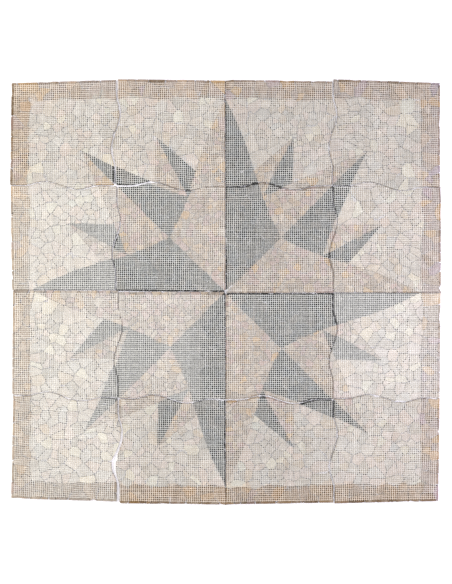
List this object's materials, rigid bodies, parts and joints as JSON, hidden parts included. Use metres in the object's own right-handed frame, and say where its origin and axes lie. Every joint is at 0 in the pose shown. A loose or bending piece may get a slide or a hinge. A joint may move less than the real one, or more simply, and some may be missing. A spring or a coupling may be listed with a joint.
{
  "type": "mosaic panel",
  "caption": "Square floor medallion of broken-marble mosaic with a compass star and a border, in loose net-backed sheets that key together along S-shaped edges, net side up.",
  "frame": {"origin": "middle of the panel at the level of the finished face, which lies on the floor", "axes": "+X to the right of the picture and +Y up it as seen from the net side, +Z out of the net"},
  "size_m": [1.21, 1.194, 0.0111],
  "materials": {
    "cream_marble": "matt, tumbled",
    "tan_marble": "matt, tumbled",
    "grey_marble": "matt, tumbled",
    "glass_fibre_net": "matt, resin-coated"
  },
  "bodies": {
    "root": {"stones_row1_col1": "cream_marble", "net_row1_col1": "glass_fibre_net", "stones_row1_col2": "cream_marble", "net_row1_col2": "glass_fibre_net", "stones_row1_col3": "cream_marble", "net_row1_col3": "glass_fibre_net", "stones_row1_col4": "cream_marble", "net_row1_col4": "glass_fibre_net", "stones_row2_col1": "cream_marble", "net_row2_col1": "glass_fibre_net", "stones_row2_col2": "cream_marble", "net_row2_col2": "glass_fibre_net", "stones_row2_col3": "cream_marble", "net_row2_col3": "glass_fibre_net", "stones_row2_col4": "cream_marble", "net_row2_col4": "glass_fibre_net", "stones_row3_col1": "cream_marble", "net_row3_col1": "glass_fibre_net", "stones_row3_col2": "cream_marble", "net_row3_col2": "glass_fibre_net", "stones_row3_col3": "cream_marble", "net_row3_col3": "glass_fibre_net", "stones_row3_col4": "cream_marble", "net_row3_col4": "glass_fibre_net", "stones_row4_col1": "cream_marble", "net_row4_col1": "glass_fibre_net", "stones_row4_col2": "cream_marble", "net_row4_col2": "glass_fibre_net", "stones_row4_col3": "cream_marble", "net_row4_col3": "glass_fibre_net", "stones_row4_col4": "cream_marble", "net_row4_col4": "glass_fibre_net"}
  },
  "joints": []
}
